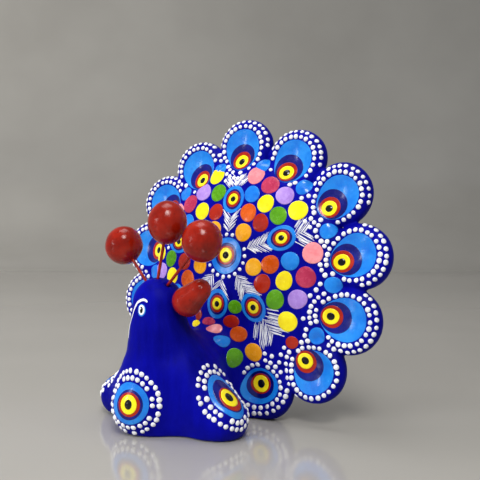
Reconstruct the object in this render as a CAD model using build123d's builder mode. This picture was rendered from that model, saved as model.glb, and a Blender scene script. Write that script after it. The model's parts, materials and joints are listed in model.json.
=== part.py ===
from build123d import *
from math import atan2, cos, degrees, radians, sin, tan
import os

# A hand-built clay peacock: a hollow bell of a body with a head on top, three knob feet, a thick round
# tail slab with thumb-pressed lobes, a blunt beak, and a crest of three clay balls on springy wires.
# Millimetres, +Z up. The peacock faces -Y, its left is +X, and it stands on Z = 0.
# The origin is under the middle of its bounding box.

# Tail: a thick round slab, domed in front and dished behind. It leans back and is set a little askew
TAIL_X = -1.44
TAIL_Y = 26.4
TAIL_HEIGHT = 73.5
TAIL_TURN = 7.2
TAIL_LEAN = 7.8
SLAB_THICKNESS = 10.8
DISC_RADIUS = 54.0
DISC_RIM_RISE = 1.2
DISC_CROWN = 9.2
DISH_DEPTH = 8.5
DISH_MARGIN = 4.0

# Each lobe's bearing from the slab's middle, anticlockwise from the front, and its centre's distance from
# there. The lobes were pressed by eye, so neither is quite even
LOBES = [
    (250.0, 62.9),
    (223.5, 63.5),
    (197.5, 64.0),
    (171.5, 62.5),
    (145.5, 63.5),
    (119.5, 63.0),
    (92.5, 65.5),
    (63.5, 64.0),
    (35.5, 66.3),
    (7.0, 65.5),
    (-20.5, 65.5),
    (-46.5, 65.2),
    (-73.0, 61.8),
]
LOBE_RADIUS = 16.0
LOBE_ROUNDING = 4.8
LOBE_WEB_REACH = 60.0
LOBE_WEB_DEPTH = 12.0
SCOOP_SPHERE = 24.0
SCOOP_DEPTH = 2.4

# Body: a bell whose axis is the neck, with a low back that runs from the neck to the tail
BODY_X = TAIL_X - 9.5
BELL_RINGS = [
    (0.0, -46.5, 14.5),
    (14.0, -48.0, 16.2),
    (33.0, -50.6, 14.6),
    (46.0, -51.8, 13.4),
    (59.3, -52.5, 12.0),
]
BACK_RADIUS = 16.0
BACK_HEIGHT = 27.0
BACK_FOOTING = 22.0
BACK_END = 3.0
WALL = 5.5

# Feet: round knobs, flattened where they stand
FRONT_FOOT_RADIUS = 13.2
FRONT_FOOT_X = BODY_X - 2.5
FRONT_FOOT_Y = TAIL_Y - 59.0
LEFT_FOOT_RADIUS = 12.6
LEFT_FOOT_REACH = 30.0
LEFT_FOOT_Y = TAIL_Y - 40.5
RIGHT_FOOT_RADIUS = 11.2
RIGHT_FOOT_REACH = 34.0
RIGHT_FOOT_Y = TAIL_Y - 42.0
SIDE_FOOT_ROOT = 14.0
FOOT_SINK = 1.3

# Beak: a drop of clay that points to the peacock's left and up
BEAK_BEARING = 100.0
BEAK_BUTT_RADIUS = 7.5
BEAK_TIP_RADIUS = 4.0
BEAK_BUTT_REACH = 15.4
BEAK_BUTT_HEIGHT = 61.0
BEAK_TIP_REACH = 24.0
BEAK_TIP_HEIGHT = 67.4

# Crest: a ball on each wire, and each wire's root stuck in the head
WIRE_RADIUS = 0.75
WIRE_ROOT_LENGTH = 5.0
WIRE_GAP = 0.4
WIRE_CHASE = 1.0
BALL_RADIUS = 9.3
CREST_Y = TAIL_Y - 53.5
CREST_ROOTS = [(-6.8, 68.6), (0.6, 71.2), (7.2, 68.4)]
CREST_BALLS = [(-23.6, 86.2), (6.6, 97.4), (28.5, 89.2)]

turn, lean = radians(TAIL_TURN), radians(TAIL_LEAN)
tail_plane = Plane(
    origin=(TAIL_X, TAIL_Y, TAIL_HEIGHT),
    x_dir=(cos(turn), sin(turn), 0),
    z_dir=(sin(turn) * cos(lean), -cos(turn) * cos(lean), sin(lean)),
)
half_slab = SLAB_THICKNESS / 2
head_height, head_y, head_radius = BELL_RINGS[-1]
head_y += TAIL_Y


def save(part, name):
    """Label a finished piece and write it as its own file."""
    part.label = name
    export_step(part, f"parts/{name}.step")


def make_tail_disc():
    """The slab's middle, turned from its half section."""
    section = Plane(origin=tail_plane.origin, x_dir=tail_plane.x_dir, z_dir=-tail_plane.y_dir)
    rim = half_slab + DISC_RIM_RISE
    crown = half_slab + DISC_CROWN
    dome_radius = (DISC_RADIUS**2 + (crown - rim) ** 2) / (2 * (crown - rim))
    dish = DISC_RADIUS - DISH_MARGIN
    dish_radius = (dish**2 + DISH_DEPTH**2) / (2 * DISH_DEPTH)
    with BuildPart() as tail_disc:
        with BuildSketch(section):
            with BuildLine():
                RadiusArc((DISC_RADIUS, rim), (0, crown), -dome_radius)
                Line((0, crown), (0, DISH_DEPTH - half_slab))
                RadiusArc((0, DISH_DEPTH - half_slab), (dish, -half_slab), dish_radius)
                Line((dish, -half_slab), (DISC_RADIUS, -half_slab))
                Line((DISC_RADIUS, -half_slab), (DISC_RADIUS, rim))
            make_face()
        revolve(axis=Axis(tail_plane.origin, tail_plane.z_dir))
    return tail_disc.part


def make_tail_lobe(bearing, ring, left_edge, right_edge):
    """A round lobe at a bearing round the slab, cut at two bearings, with a thumb scoop pressed in front."""
    angle = radians(bearing)
    radial = tail_plane.x_dir * cos(angle) + tail_plane.y_dir * sin(angle)
    bearing_plane = Plane(origin=tail_plane.origin, x_dir=radial, z_dir=tail_plane.z_dir)
    lobe_back = bearing_plane.offset(-half_slab)
    scoop_centre = lobe_back.origin + radial * ring
    scoop_centre += tail_plane.z_dir * (SLAB_THICKNESS + SCOOP_SPHERE - SCOOP_DEPTH)
    reach = ring + LOBE_RADIUS * 1.5
    left_corner = (reach, reach * tan(radians(left_edge - bearing)))
    right_corner = (reach, reach * tan(radians(right_edge - bearing)))
    web_middle = LOBE_WEB_REACH - LOBE_WEB_DEPTH / 2
    with BuildPart() as tail_lobe:
        with BuildSketch(lobe_back):
            with Locations((ring, 0)):
                Circle(LOBE_RADIUS)
        extrude(amount=SLAB_THICKNESS)
        fillet(tail_lobe.edges().filter_by(GeomType.CIRCLE), LOBE_ROUNDING)
        with BuildSketch(lobe_back):
            with Locations((web_middle, 0)):
                Rectangle(LOBE_WEB_DEPTH, LOBE_RADIUS * 1.9)
        extrude(amount=SLAB_THICKNESS)
        with BuildSketch(lobe_back):
            Polygon((0, 0), right_corner, left_corner, align=None)
        extrude(amount=SLAB_THICKNESS, mode=Mode.INTERSECT)
        with BuildSketch(lobe_back):
            Circle(DISC_RADIUS)
        extrude(amount=SLAB_THICKNESS, mode=Mode.SUBTRACT)
        with Locations(scoop_centre):
            Sphere(SCOOP_SPHERE, mode=Mode.SUBTRACT)
        split(bisect_by=Plane.XY, keep=Keep.TOP)
    return tail_lobe.part


def make_bell(cut):
    """The bell, the head and the back as one solid, with every wall moved in by cut."""
    lengthways = Plane(origin=(BODY_X, head_y, 0), x_dir=(-1, 0, 0), z_dir=(0, 1, 0))
    with BuildPart() as bell:
        for height, ring_y, ring_radius in BELL_RINGS:
            with BuildSketch(Plane(origin=(BODY_X, TAIL_Y + ring_y, height))):
                Circle(ring_radius - cut)
        loft()
        with Locations((BODY_X, head_y, head_height)):
            Sphere(head_radius - cut)
        with BuildSketch(lengthways):
            top = BACK_RADIUS - cut
            foot = BACK_FOOTING - cut
            Polygon((-foot, 0), (foot, 0), (top, BACK_HEIGHT), (-top, BACK_HEIGHT), align=None)
            with Locations((0, BACK_HEIGHT)):
                Circle(top)
        extrude(amount=TAIL_Y - head_y + SLAB_THICKNESS)
        split(bisect_by=tail_plane.offset(BACK_END), keep=Keep.TOP)
    return bell.part


def make_front_foot(bell):
    """A ball of clay luted to the foot of the bell."""
    with BuildPart() as front_foot:
        with Locations((FRONT_FOOT_X, FRONT_FOOT_Y, FRONT_FOOT_RADIUS - FOOT_SINK)):
            Sphere(FRONT_FOOT_RADIUS)
        split(bisect_by=Plane.XY, keep=Keep.TOP)
        add(bell, mode=Mode.SUBTRACT)
    return front_foot.part


def make_side_foot(side, radius, reach, foot_y, bell, front_foot):
    """side is +1 for the peacock's left foot and -1 for its right."""
    height = radius - FOOT_SINK
    root = (BODY_X + side * SIDE_FOOT_ROOT, foot_y, height)
    with BuildPart() as side_foot:
        with BuildSketch(Plane(origin=root, x_dir=(0, 1, 0), z_dir=(side, 0, 0))):
            Circle(radius)
        extrude(amount=reach - SIDE_FOOT_ROOT)
        with Locations((BODY_X + side * reach, foot_y, height)):
            Sphere(radius)
        split(bisect_by=Plane.XY, keep=Keep.TOP)
        add(bell, mode=Mode.SUBTRACT)
        add(front_foot, mode=Mode.SUBTRACT)
    return side_foot.part


def make_beak(bell):
    """Two round ends joined by a straight-sided cone, cut to sit on the head."""
    bearing = radians(BEAK_BEARING)
    along = Vector(sin(bearing), -cos(bearing), 0)
    butt = Vector(BODY_X, head_y, BEAK_BUTT_HEIGHT) + along * BEAK_BUTT_REACH
    tip = Vector(BODY_X, head_y, BEAK_TIP_HEIGHT) + along * BEAK_TIP_REACH
    axis = (tip - butt).normalized()
    length = (tip - butt).length
    section = Plane(origin=butt, x_dir=axis, z_dir=along.cross(Vector(0, 0, 1)))
    slope = (BEAK_BUTT_RADIUS - BEAK_TIP_RADIUS) / length
    rise = (1 - slope**2) ** 0.5
    butt_edge = (BEAK_BUTT_RADIUS * slope, BEAK_BUTT_RADIUS * rise)
    tip_edge = (length + BEAK_TIP_RADIUS * slope, BEAK_TIP_RADIUS * rise)
    butt_turn = degrees(atan2(rise, slope))
    with BuildPart() as beak:
        with BuildSketch(section):
            with BuildLine():
                CenterArc((0, 0), BEAK_BUTT_RADIUS, butt_turn, 180 - butt_turn)
                Line(butt_edge, tip_edge)
                CenterArc((length, 0), BEAK_TIP_RADIUS, 0, butt_turn)
                Line((length + BEAK_TIP_RADIUS, 0), (-BEAK_BUTT_RADIUS, 0))
            make_face()
        revolve(axis=Axis(butt, axis))
        add(bell, mode=Mode.SUBTRACT)
    return beak.part


def crest_line(number):
    """A wire's root point on the head, its ball's centre, and the plane across it at the root."""
    root_x, root_z = CREST_ROOTS[number]
    ball_x, ball_z = CREST_BALLS[number]
    root = Vector(BODY_X + root_x, CREST_Y, root_z)
    ball = Vector(BODY_X + ball_x, CREST_Y, ball_z)
    return root, ball, Plane(origin=root, z_dir=(ball - root).normalized())


def make_crest(number):
    """The root stuck in the head, the free wire, and the ball on its end."""
    root, ball, across = crest_line(number)
    with BuildPart() as wire_root:
        with BuildSketch(across.offset(-WIRE_ROOT_LENGTH - WIRE_CHASE - WIRE_GAP)):
            Circle(WIRE_RADIUS)
        extrude(amount=WIRE_ROOT_LENGTH)
    with BuildPart() as wire:
        with BuildSketch(across.offset(-WIRE_CHASE)):
            Circle(WIRE_RADIUS)
        extrude(amount=(ball - root).length + WIRE_CHASE)
    with BuildPart() as crest_ball:
        with Locations(ball):
            Sphere(BALL_RADIUS)
        add(wire.part, mode=Mode.SUBTRACT)
    return wire_root.part, wire.part, crest_ball.part


def make_body(bell, tail_pieces, wire_roots):
    """Hollow the bell from below, and cut it to meet the tail and take the wires."""
    with BuildPart() as body_bell:
        add(bell)
        add(make_bell(WALL), mode=Mode.SUBTRACT)
        for piece in tail_pieces + wire_roots:
            add(piece, mode=Mode.SUBTRACT)
        for number in range(len(CREST_BALLS)):
            across = crest_line(number)[2]
            with BuildSketch(across.offset(-WIRE_CHASE - WIRE_GAP)):
                Circle(WIRE_RADIUS + WIRE_GAP)
            extrude(amount=WIRE_CHASE * 4, taper=-15, mode=Mode.SUBTRACT)
    return body_bell.part


os.makedirs("parts", exist_ok=True)

tail_disc = make_tail_disc()
save(tail_disc, "tail_disc")

tail_lobes = []
bearings = [bearing for bearing, ring in LOBES]
bottom = (bearings[0] + bearings[-1] + 360) / 2
edges = [bottom] + [(one + other) / 2 for one, other in zip(bearings, bearings[1:])] + [bottom - 360]
for index, (bearing, ring) in enumerate(LOBES):
    tail_lobes.append(make_tail_lobe(bearing, ring, edges[index], edges[index + 1]))
    save(tail_lobes[-1], f"tail_lobe_{index + 1:02d}")

outer_bell = make_bell(0)
front_foot = make_front_foot(outer_bell)
save(front_foot, "front_foot")
left_foot = make_side_foot(1, LEFT_FOOT_RADIUS, LEFT_FOOT_REACH, LEFT_FOOT_Y, outer_bell, front_foot)
save(left_foot, "left_foot")
right_foot = make_side_foot(-1, RIGHT_FOOT_RADIUS, RIGHT_FOOT_REACH, RIGHT_FOOT_Y, outer_bell, front_foot)
save(right_foot, "right_foot")
save(make_beak(outer_bell), "beak")

wire_roots = []
for index in range(len(CREST_BALLS)):
    root_piece, wire_piece, ball_piece = make_crest(index)
    wire_roots.append(root_piece)
    save(root_piece, f"crest_wire_root_{index + 1}")
    save(wire_piece, f"crest_wire_{index + 1}")
    save(ball_piece, f"crest_ball_{index + 1}")

low_lobes = tail_lobes[:2] + tail_lobes[-2:]
save(make_body(outer_bell, [tail_disc] + low_lobes, wire_roots), "body_bell")
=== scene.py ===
import itertools
import json
import math
import random

import bpy
import numpy as np
from mathutils import Matrix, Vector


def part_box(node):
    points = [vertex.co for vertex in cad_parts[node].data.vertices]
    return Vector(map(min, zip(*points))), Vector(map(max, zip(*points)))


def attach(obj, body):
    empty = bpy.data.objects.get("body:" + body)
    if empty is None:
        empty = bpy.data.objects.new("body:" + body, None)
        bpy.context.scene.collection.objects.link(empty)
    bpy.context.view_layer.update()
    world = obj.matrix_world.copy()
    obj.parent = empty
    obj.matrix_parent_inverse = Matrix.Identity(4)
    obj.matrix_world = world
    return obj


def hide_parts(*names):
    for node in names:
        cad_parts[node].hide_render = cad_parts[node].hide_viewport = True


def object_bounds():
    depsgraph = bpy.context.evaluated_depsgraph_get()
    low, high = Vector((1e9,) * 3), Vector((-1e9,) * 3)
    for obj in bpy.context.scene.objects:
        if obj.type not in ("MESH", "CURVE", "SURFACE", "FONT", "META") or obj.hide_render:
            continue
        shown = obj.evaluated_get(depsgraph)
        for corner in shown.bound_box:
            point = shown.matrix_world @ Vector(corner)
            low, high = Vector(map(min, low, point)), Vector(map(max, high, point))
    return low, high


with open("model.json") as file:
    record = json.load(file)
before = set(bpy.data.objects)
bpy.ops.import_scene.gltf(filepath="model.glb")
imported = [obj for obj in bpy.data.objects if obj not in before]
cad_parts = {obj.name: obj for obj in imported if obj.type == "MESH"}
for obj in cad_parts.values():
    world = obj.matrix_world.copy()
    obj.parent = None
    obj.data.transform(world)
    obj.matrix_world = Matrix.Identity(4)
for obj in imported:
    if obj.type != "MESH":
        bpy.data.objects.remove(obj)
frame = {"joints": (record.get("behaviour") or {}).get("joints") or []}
cad_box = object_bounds()
RNG = random.Random(11)
MM_PER_M, M_PER_MM = 1000, 0.001

# Lengths are millimetres down to the floor, the lights and the camera, which are in metres. Body points
# are measured from the body's axis, from the tail's centre along Y, and from the table. Tail spots run
# right and up across the tail from its centre, and forward out of its face.


def node_box(node):
    low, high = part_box(node)
    return np.array(low) * MM_PER_M, np.array(high) * MM_PER_M


def unit(vector):
    return np.asarray(vector, float) / np.linalg.norm(vector)


def heading(angle):
    """A direction in the plane, from an angle in radians."""
    return np.array([math.cos(angle), math.sin(angle)])


# ---------------------------------------------------------------- where the CAD puts things
disc_low, disc_high = node_box("tail_disc")
bell_low, bell_high = node_box("body_bell")
BOX_TO_TAIL_CENTRE = np.array([-0.075, 1.144, -0.081])
TAIL = (disc_low + disc_high) / 2 + BOX_TO_TAIL_CENTRE
TURN, LEAN = math.radians(7.2), math.radians(7.8)
TAIL_RIGHT = np.array([math.cos(TURN), math.sin(TURN), 0.0])
TAIL_FRONT = np.array([math.sin(TURN) * math.cos(LEAN), -math.cos(TURN) * math.cos(LEAN), math.sin(LEAN)])
TAIL_UP = np.cross(TAIL_FRONT, TAIL_RIGHT)
BODY = np.array([(bell_low[0] + bell_high[0]) / 2, TAIL[1], 0.0])
HEAD_TOP = bell_high[2]


def tail_point(right, up, front=0.0):
    return TAIL + TAIL_RIGHT * right + TAIL_UP * up + TAIL_FRONT * front


def body_point(x, y, z):
    return BODY + np.array([x, y, z])


# ---------------------------------------------------------------- the clay as a distance function
# The tail. Each lobe has a bearing in degrees from the tail's right, and a distance from its centre
LOBES = [(250.0, 62.9), (223.5, 63.5), (197.5, 64.0), (171.5, 62.5), (145.5, 63.5), (119.5, 63.0),
         (92.5, 65.5), (63.5, 64.0), (35.5, 66.3), (7.0, 65.5), (-20.5, 65.5), (-46.5, 65.2), (-73.0, 61.8)]
LOW_LOBES = (0, len(LOBES) - 1)
LOBE_RADIUS, DISC_RADIUS, LOBE_BLEND = 15.9, 58.0, 2.2
RIM_FRONT, SLAB_BACK, RIM_ROUND = 5.1, -5.3, 4.9
CROWN_AT, CROWN_RADIUS, CROWN_HEIGHT, CROWN_SOFTNESS = (-1.2, 2.4), 57.0, 9.0, 0.06
DISH_RADIUS, DISH_DEPTH, DISH_POWER = 52.0, 8.0, 1.3
# The scoop pressed in each lobe, and the pale oval painted in it, by half sizes
SCOOP, LOW_SCOOP = (11.8, 10.6), (9.6, 10.4)
SCOOP_MARGIN, SCOOP_DEPTH, SCOOP_POWER = 1.6, 2.5, 1.25
OVAL, LOW_OVAL, ROUND_OVAL, ROUND_LOBE = (10.1, 11.7), (9.5, 8.8), (10.4, 10.4), 11
OVAL_EGG = 0.13
OVAL_SET_IN = 2.0
OVAL_TILT = {8: 16.0, 9: 20.0, 10: 12.0}
OVAL_OUT = {11: 3.0, 0: 1.0, 12: 1.0}
OVAL_SLIP = {8: -1.6}
# The body: stations of its bell, each a body point and a radius, the topmost just under the head's top
BELL = [((-0.6, -48.8, 13.0), 17.8), ((-0.6, -50.4, 29.0), 16.4), ((-0.4, -51.4, 39.0), 14.4),
        ((-0.3, -52.0, 47.0), 13.3), ((-0.4, -52.4, None), 12.0)]
SKIRT_Y, SKIRT_RADIUS, SKIRT_HEIGHT = 47.5, 15.6, 16.0
BACK_HEIGHT, BACK_RADIUS, BACK_SPREAD, BACK_FRONT, BACK_TO_TAIL = 27.5, 16.0, 0.22, -48.0, 1.5
WALL, HOLLOW_END = 5.6, 9.5
PIT_RADIUS, GROUND_GAP = 1.15, 0.15


def smooth_min(a, b, k):
    h = np.clip(0.5 + 0.5 * (b - a) / k, 0, 1)
    return b + (a - b) * h - k * h * (1 - h)


def smooth_max(a, b, k):
    return -smooth_min(-a, -b, k)


def cone(P, a, b, ra, rb):
    """Distance to a rod from a to b whose radius runs from ra to rb."""
    a, b = np.asarray(a, float), np.asarray(b, float)
    t = np.clip((P - a) @ (b - a) / ((b - a) @ (b - a)), 0, 1)
    return np.linalg.norm(P - a - t[:, None] * (b - a), axis=1) - (ra + (rb - ra) * t)


def waves(P, size, seed):
    """Slow, smooth unevenness between about -1 and 1, as hands leave in clay."""
    pick = random.Random(seed)
    total = np.zeros(len(P))
    for _ in range(6):
        direction = unit([pick.gauss(0, 1) for _ in range(3)])
        per_mm = 2 * math.pi / (size * pick.uniform(0.7, 1.5))
        total += np.sin(P @ direction * per_mm + pick.uniform(0, 6.3))
    return total / 3


def oval_of(index):
    """A lobe's oval: its centre, and its outward and sideways directions across the tail."""
    bearing, ring = LOBES[index]
    angle = math.radians(bearing)
    slip = OVAL_SLIP.get(index, 0.0) * np.array([-math.sin(angle), math.cos(angle)])
    centre = heading(angle) * (ring - OVAL_SET_IN + OVAL_OUT.get(index, 0.0)) + slip
    outward = heading(angle + math.radians(OVAL_TILT.get(index, 0.0)))
    return centre, outward, np.array([-outward[1], outward[0]])


def oval_size(index):
    """Half the width and length of the pale oval painted on a lobe."""
    if index in LOW_LOBES:
        return LOW_OVAL
    return ROUND_OVAL if index == ROUND_LOBE else OVAL


def crown_share(right, up):
    """How far up the dome of the tail's front a spot is: 1 at its top, 0 at its edge, less outside."""
    return 1 - ((right - CROWN_AT[0]) ** 2 + (up - CROWN_AT[1]) ** 2) / CROWN_RADIUS ** 2


def tail_distance(P):
    q = P - TAIL
    u, v, n = q @ TAIL_RIGHT, q @ TAIL_UP, q @ TAIL_FRONT
    outline = np.hypot(u, v) - DISC_RADIUS
    for bearing, ring in LOBES:
        x, y = ring * heading(math.radians(bearing))
        outline = smooth_min(outline, np.hypot(u - x, v - y) - LOBE_RADIUS, LOBE_BLEND)
    rise = CROWN_HEIGHT * CROWN_SOFTNESS * np.logaddexp(0, crown_share(u, v) / CROWN_SOFTNESS)
    front = RIM_FRONT + rise
    for index in range(len(LOBES)):
        centre, outward, sideways = oval_of(index)
        length, width = LOW_SCOOP if index in LOW_LOBES else SCOOP
        du, dv = u - centre[0], v - centre[1]
        along = (du * outward[0] + dv * outward[1]) / (length + SCOOP_MARGIN)
        across = (du * sideways[0] + dv * sideways[1]) / (width + SCOOP_MARGIN)
        front = front - SCOOP_DEPTH * np.clip(1 - along ** 2 - across ** 2, 0, 1) ** SCOOP_POWER
    dish = np.clip(1 - (u ** 2 + v ** 2) / DISH_RADIUS ** 2, 0, 1)
    back = SLAB_BACK + DISH_DEPTH * dish ** DISH_POWER
    depth = np.maximum(n - front, back - n)
    side, over = outline + RIM_ROUND, depth + RIM_ROUND
    edge = np.hypot(np.maximum(side, 0), np.maximum(over, 0)) - RIM_ROUND
    return np.minimum(np.maximum(side, over), 0) + edge


def body_distance(P, cut):
    """The bell, head and back. With cut above zero it is the hollow inside them."""
    stations = [(body_point(x, y, HEAD_TOP - r if z is None else z), r - cut) for (x, y, z), r in BELL]
    bell = cone(P, stations[0][0], stations[1][0], stations[0][1], stations[1][1])
    for (a, ra), (b, rb) in zip(stations[1:], stations[2:]):
        bell = smooth_min(bell, cone(P, a, b, ra, rb), 2.0)
    skirt = np.hypot(P[:, 0] - BODY[0], P[:, 1] - (BODY[1] - SKIRT_Y)) - (SKIRT_RADIUS - cut)
    skirt = smooth_max(skirt, P[:, 2] - SKIRT_HEIGHT + cut, 6.0)
    bell = smooth_min(bell, skirt, 5.0)
    q = P - body_point(0, 0, BACK_HEIGHT)
    above = np.maximum(q[:, 2], 0)
    widen = np.clip(-q[:, 2], 0, 30) * BACK_SPREAD
    ridge = np.hypot(q[:, 0], above) - (BACK_RADIUS + widen - cut)
    back = smooth_max(ridge, BACK_FRONT - q[:, 1], 3.0)
    back = smooth_max(back, BACK_TO_TAIL - (P - TAIL) @ TAIL_FRONT, 1.5)
    return smooth_min(bell, back, 13.0 if cut == 0 else 2.0)


def broad_cone(P, a, b, ra, rb, breadth):
    """A rod that is broader along Y than it is high."""
    squeeze = np.array([1.0, 1.0 / breadth, 1.0])
    return cone(P * squeeze, a * squeeze, b * squeeze, ra, rb)


def feet_distances(P):
    """The front, left and right foot knobs, in that order."""
    front = cone(P, body_point(-5.0, -58.7, 12.0), body_point(-1.0, -51.5, 24.0), 12.7, 11.5)
    left = broad_cone(P, body_point(12.5, -41.5, 20.5), body_point(30.2, -40.6, 7.6), 13.6, 11.3, 1.08)
    right = broad_cone(P, body_point(-11.0, -44.0, 20.5), body_point(-34.8, -44.0, 9.0), 13.4, 10.6, 1.05)
    return front, left, right


# Each crest's number, its wire's foot on the head, its ball's centre, the way there, and the ball's radius
WIRES = []
for joint in frame["joints"]:
    number = joint["name"][-1]
    ball_low, ball_high = node_box("crest_ball_" + number)
    ball = (ball_low + ball_high) / 2
    foot = np.array(joint["pos_m"]) * MM_PER_M
    WIRES.append((number, foot, ball, unit(ball - foot), (ball_high[0] - ball_low[0]) / 2))


def clay_distance(P):
    """The figure in clay, with its hollow, and a small pit round each wire's foot."""
    d = body_distance(P, 0)
    front, left, right = feet_distances(P)
    d = smooth_min(d, front, 9.0)
    d = smooth_min(d, left, 13.0)
    d = smooth_min(d, right, 12.0)
    d = smooth_min(d, tail_distance(P), 9.0)
    d = d + 0.16 * waves(P, 30.0, 3) + 0.05 * waves(P, 9.0, 4)
    hollow = smooth_max(body_distance(P, WALL), HOLLOW_END - (P - TAIL) @ TAIL_FRONT, 2.0)
    d = smooth_max(d, -hollow, 1.6)
    for number, foot, ball, along, radius in WIRES:
        height = (P - foot) @ along
        away = np.linalg.norm(P - foot - height[:, None] * along, axis=1)
        pit = away - PIT_RADIUS - 0.3 * np.clip(height, -0.4, 5)
        d = smooth_max(d, -np.maximum(pit, -0.45 - height), 0.25)
    return smooth_max(d, GROUND_GAP - P[:, 2], 1.2)


def gradient(distance, P, step=0.05):
    g = np.stack([distance(P + e) - distance(P - e) for e in np.eye(3) * step], axis=1)
    return g / np.maximum(np.linalg.norm(g, axis=1, keepdims=True), 1e-9)


def surface_net(distance, low, high, step):
    """Vertices and quads on the zero level of a distance function."""
    low, high = np.asarray(low, float), np.asarray(high, float)
    counts = np.ceil((high - low) / step).astype(int) + 1
    axes = [low[i] + step * np.arange(counts[i]) for i in range(3)]
    values = np.empty(counts)
    rest = np.stack(np.meshgrid(axes[1], axes[2], indexing="ij"), -1).reshape(-1, 2)
    for first in range(0, counts[0], 8):
        xs = axes[0][first:first + 8]
        P = np.column_stack([np.repeat(xs, len(rest)), np.tile(rest, (len(xs), 1))])
        values[first:first + 8] = distance(P).reshape(len(xs), counts[1], counts[2])
    inside = values < 0
    cells = tuple(counts - 1)
    corners = list(itertools.product((0, 1), repeat=3))
    total = np.zeros(cells, np.int8)
    for i, j, k in corners:
        total += inside[i:i + cells[0], j:j + cells[1], k:k + cells[2]]
    mixed = (total > 0) & (total < 8)
    index = -np.ones(cells, np.int64)
    index[mixed] = np.arange(mixed.sum())
    at = np.argwhere(mixed)
    sums, hits = np.zeros((len(at), 3)), np.zeros(len(at))
    for a, b in itertools.combinations(corners, 2):
        a, b = np.array(a), np.array(b)
        if np.abs(a - b).sum() != 1:
            continue
        va, vb = values[tuple((at + a).T)], values[tuple((at + b).T)]
        cross = (va < 0) != (vb < 0)
        t = (va[cross] / (va[cross] - vb[cross]))[:, None]
        sums[cross] += a + t * (b - a)
        hits[cross] += 1
    vertices = low + step * (at + sums / hits[:, None])
    faces = []
    for axis in range(3):
        one, two = (axis + 1) % 3, (axis + 2) % 3
        near, far = [slice(None)] * 3, [slice(None)] * 3
        near[axis], far[axis] = slice(0, -1), slice(1, None)
        change = inside[tuple(near)] != inside[tuple(far)]
        where = np.argwhere(change)
        keep = (where[:, one] > 0) & (where[:, two] > 0)
        keep &= (where[:, one] < cells[one]) & (where[:, two] < cells[two])
        where = where[keep]
        e1, e2 = np.eye(3, dtype=int)[one], np.eye(3, dtype=int)[two]
        ring = [index[tuple((where - s).T)] for s in (e1 + e2, e2, 0 * e1, e1)]
        quads = np.stack(ring, axis=1)
        flip = ~inside[tuple(where.T)]
        quads[flip] = quads[flip][:, ::-1]
        faces.append(quads)
    for _ in range(2):
        normal = gradient(distance, vertices)
        vertices = vertices - normal * np.clip(distance(vertices), -step, step)[:, None]
    return vertices, np.concatenate(faces)


def make_mesh(name, vertices, faces, material, body, replaced=()):
    """A mesh object from millimetre vertices, riding a body and standing for CAD nodes."""
    mesh = bpy.data.meshes.new(name)
    mesh.from_pydata((np.asarray(vertices) * M_PER_MM).tolist(), [], [list(map(int, f)) for f in faces])
    mesh.validate()
    mesh.update()
    mesh.polygons.foreach_set("use_smooth", [True] * len(mesh.polygons))
    thing = bpy.data.objects.new(name, mesh)
    bpy.context.scene.collection.objects.link(thing)
    mesh.materials.append(material)
    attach(thing, body)
    if replaced:
        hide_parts(*replaced)


# ---------------------------------------------------------------- materials
def srgb(r, g, b):
    """A linear colour from 0 to 255 values."""
    return tuple(((c / 255 + 0.055) / 1.055) ** 2.4 if c > 10 else c / 255 / 12.92 for c in (r, g, b))


def node(tree, kind, **values):
    made = tree.nodes.new(kind)
    for key, value in values.items():
        setattr(made, key, value)
    return made


def noise(tree, coordinates, scale, detail=4.0, rough=0.55, stretch=(1, 1, 1)):
    mapping = node(tree, "ShaderNodeMapping")
    mapping.inputs["Scale"].default_value = stretch
    tree.links.new(coordinates, mapping.inputs["Vector"])
    made = node(tree, "ShaderNodeTexNoise")
    made.inputs["Scale"].default_value = scale
    made.inputs["Detail"].default_value = detail
    made.inputs["Roughness"].default_value = rough
    tree.links.new(mapping.outputs["Vector"], made.inputs["Vector"])
    return made.outputs["Fac"]


def ramp(tree, value, low, high, stops):
    """A colour from a value: the stops are spaced evenly from low to high."""
    made = node(tree, "ShaderNodeValToRGB")
    tree.links.new(value, made.inputs["Fac"])
    elements = made.color_ramp.elements
    elements[0].position, elements[1].position = low, high
    elements[0].color = (*stops[0], 1)
    elements[1].color = (*stops[-1], 1)
    for i, stop in enumerate(stops[1:-1], 1):
        made_stop = elements.new(low + (high - low) * i / (len(stops) - 1))
        made_stop.color = (*stop, 1)
    return made.outputs["Color"]


def mix(tree, factor, one, two):
    made = node(tree, "ShaderNodeMix", data_type="RGBA")
    if isinstance(factor, float):
        made.inputs[0].default_value = factor
    else:
        tree.links.new(factor, made.inputs[0])
    for socket, value in ((made.inputs[6], one), (made.inputs[7], two)):
        if isinstance(value, tuple):
            socket.default_value = (*value, 1)
        else:
            tree.links.new(value, socket)
    return made.outputs[2]


def spread(tree, value, low, high, to_low, to_high):
    """A value moved from one range to another."""
    made = node(tree, "ShaderNodeMapRange")
    tree.links.new(value, made.inputs["Value"])
    for name, number in (("From Min", low), ("From Max", high), ("To Min", to_low), ("To Max", to_high)):
        made.inputs[name].default_value = number
    return made.outputs["Result"]


def bump(tree, layers):
    """Bump from several heights, each (value, strength, distance in metres)."""
    last = None
    for value, strength, distance in layers:
        made = node(tree, "ShaderNodeBump")
        made.inputs["Strength"].default_value = strength
        made.inputs["Distance"].default_value = distance
        tree.links.new(value, made.inputs["Height"])
        if last is not None:
            tree.links.new(last, made.inputs["Normal"])
        last = made.outputs["Normal"]
    return last


def start(name):
    material = bpy.data.materials.new(name)
    material.use_nodes = True
    tree = material.node_tree
    shader = tree.nodes["Principled BSDF"]
    coordinates = node(tree, "ShaderNodeTexCoord").outputs["Object"]
    return material, tree, shader, coordinates


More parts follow.
